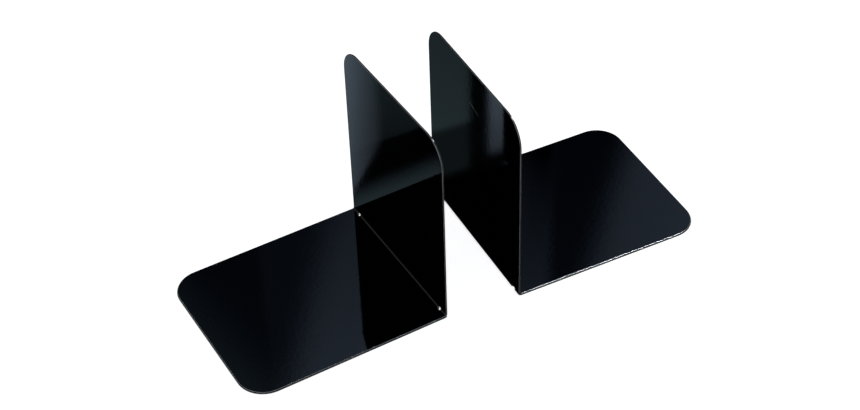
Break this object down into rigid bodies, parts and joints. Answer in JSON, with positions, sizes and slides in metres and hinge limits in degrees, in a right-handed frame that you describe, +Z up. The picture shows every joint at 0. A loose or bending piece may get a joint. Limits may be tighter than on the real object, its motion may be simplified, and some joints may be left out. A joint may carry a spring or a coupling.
{
  "type": "book ends",
  "caption": "Pair of plain sheet-steel book ends, each one L-shaped sheet with round corners in gloss black enamel, standing back to back.",
  "frame": {"origin": "on the standing surface, under the middle of the outer box of the pair as it stands at rest", "axes": "+X from the left book end to the right one, square to the left upright; +Y towards the back, along the left one's bend; +Z up"},
  "size_m": [0.3262, 0.1354, 0.136],
  "materials": {
    "black_enamel": "high gloss black enamel on sheet steel, faint orange peel, rounded cut edges"
  },
  "bodies": {
    "left": {"left_book_end": "black_enamel"},
    "right": {"right_book_end": "black_enamel"}
  },
  "joints": [
    {"name": "spacing_slide", "type": "slide", "parent": "left", "child": "right", "axis": [1, 0, 0], "range_m": [-0.047, 0.3]}
  ]
}
